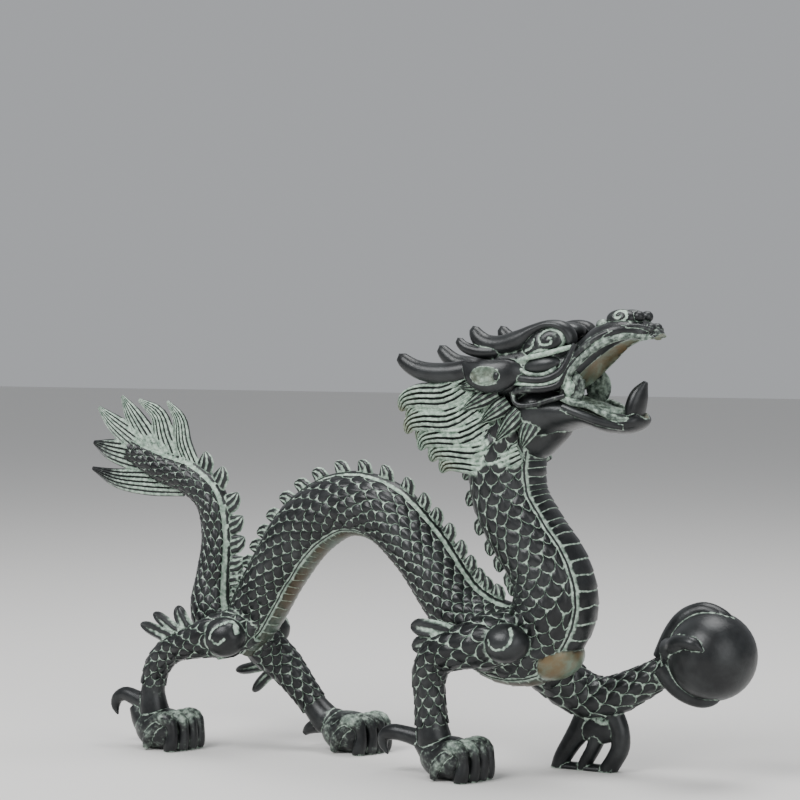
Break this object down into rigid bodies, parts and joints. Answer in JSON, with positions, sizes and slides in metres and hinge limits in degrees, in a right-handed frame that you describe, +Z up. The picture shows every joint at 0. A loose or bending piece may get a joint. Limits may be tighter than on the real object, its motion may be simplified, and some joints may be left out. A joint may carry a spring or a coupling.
{
  "type": "dragon sculpture",
  "caption": "Walking Chinese dragon in cast bronze with dark patina, arched scaled body and open jaws, one forepaw raised to hold a pearl.",
  "frame": {"origin": "on the ground, at the middle of the plan of the figure", "axes": "+X towards the head, +Y towards the dragon's left side, +Z up"},
  "size_m": [0.3834, 0.0948, 0.2358],
  "materials": {
    "bronze": "dark patina, with pale verdigris in the hollows"
  },
  "bodies": {
    "root": {"dragon": "bronze"}
  },
  "joints": []
}
